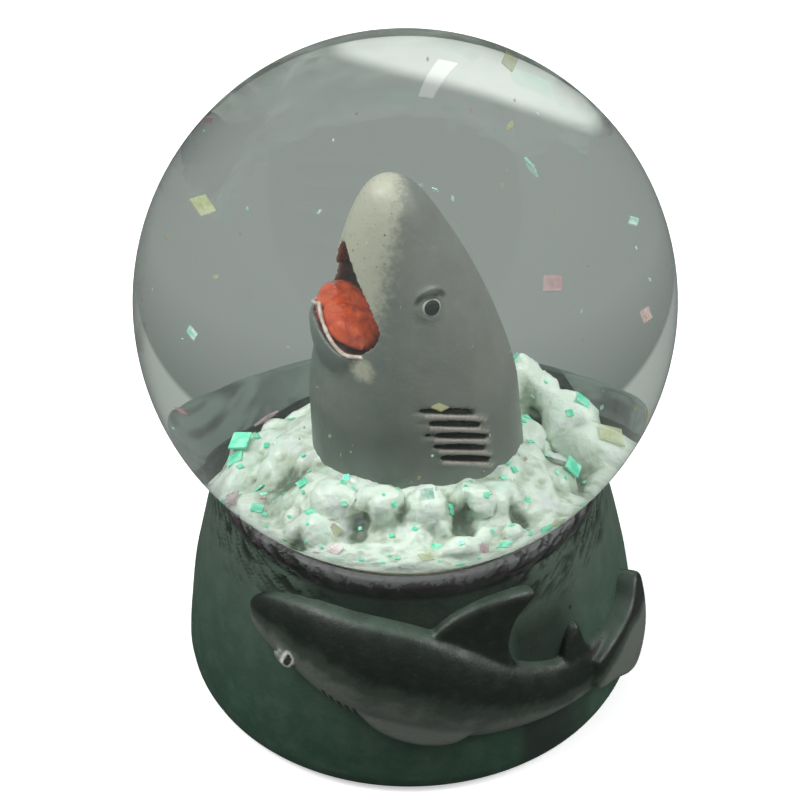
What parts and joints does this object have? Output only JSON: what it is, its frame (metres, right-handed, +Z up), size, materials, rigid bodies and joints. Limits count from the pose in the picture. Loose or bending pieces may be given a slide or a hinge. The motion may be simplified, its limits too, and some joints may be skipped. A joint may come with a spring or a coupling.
{
  "type": "snow globe",
  "caption": "Water-filled glass ball on a flared resin base with sharks in relief; inside, a shark's head breaks out of sea foam among loose glitter.",
  "frame": {"origin": "middle of the underside, on the surface that the globe stands on", "axes": "+Z up through the glass ball; the side with the front relief shark faces -Y, and +X is to the right seen from there"},
  "size_m": [0.0648, 0.0648, 0.0875],
  "materials": {
    "green_resin": "satin",
    "shark_relief_paint": "satin",
    "felt": "matte",
    "glass": "gloss",
    "rubber": "matte",
    "sealant": "satin",
    "glue": "satin",
    "grey_sharkskin": "satin",
    "white_foam": "satin",
    "liquid": "gloss",
    "turquoise_glitter": "gloss",
    "pink_glitter": "gloss",
    "gold_glitter": "gloss"
  },
  "bodies": {
    "root": {"base_casting": "green_resin", "felt_pad": "felt", "side_shark_front": "shark_relief_paint", "side_shark_back": "shark_relief_paint", "globe_glass": "glass", "stopper": "rubber", "sealant_bead": "sealant", "bedding_glue": "glue", "shark_head": "grey_sharkskin", "foam_insert": "white_foam", "liquid_fill": "liquid"},
    "settled_glitter": {"settled_flake_01": "turquoise_glitter", "settled_flake_02": "pink_glitter", "settled_flake_03": "gold_glitter", "settled_flake_04": "turquoise_glitter", "settled_flake_05": "pink_glitter", "settled_flake_06": "gold_glitter", "settled_flake_07": "turquoise_glitter", "settled_flake_08": "pink_glitter", "settled_flake_09": "gold_glitter", "settled_flake_10": "turquoise_glitter", "settled_flake_11": "pink_glitter", "settled_flake_12": "gold_glitter"},
    "drifting_glitter": {"drifting_flake_01": "pink_glitter", "drifting_flake_02": "gold_glitter", "drifting_flake_03": "turquoise_glitter", "drifting_flake_04": "pink_glitter", "drifting_flake_05": "gold_glitter", "drifting_flake_06": "turquoise_glitter", "drifting_flake_07": "pink_glitter", "drifting_flake_08": "gold_glitter", "drifting_flake_09": "turquoise_glitter", "drifting_flake_10": "pink_glitter", "drifting_flake_11": "gold_glitter", "drifting_flake_12": "turquoise_glitter"}
  },
  "joints": [
    {"name": "glitter_lift", "type": "slide", "parent": "root", "child": "settled_glitter", "axis": [0, 0, 1], "range_m": [0, 0.012], "deforming": ["liquid_fill"]},
    {"name": "glitter_swirl", "type": "hinge", "parent": "root", "child": "drifting_glitter", "pos_m": [0, 0, 0.055], "axis": [0, 0, 1], "continuous": true, "deforming": ["liquid_fill"]}
  ]
}
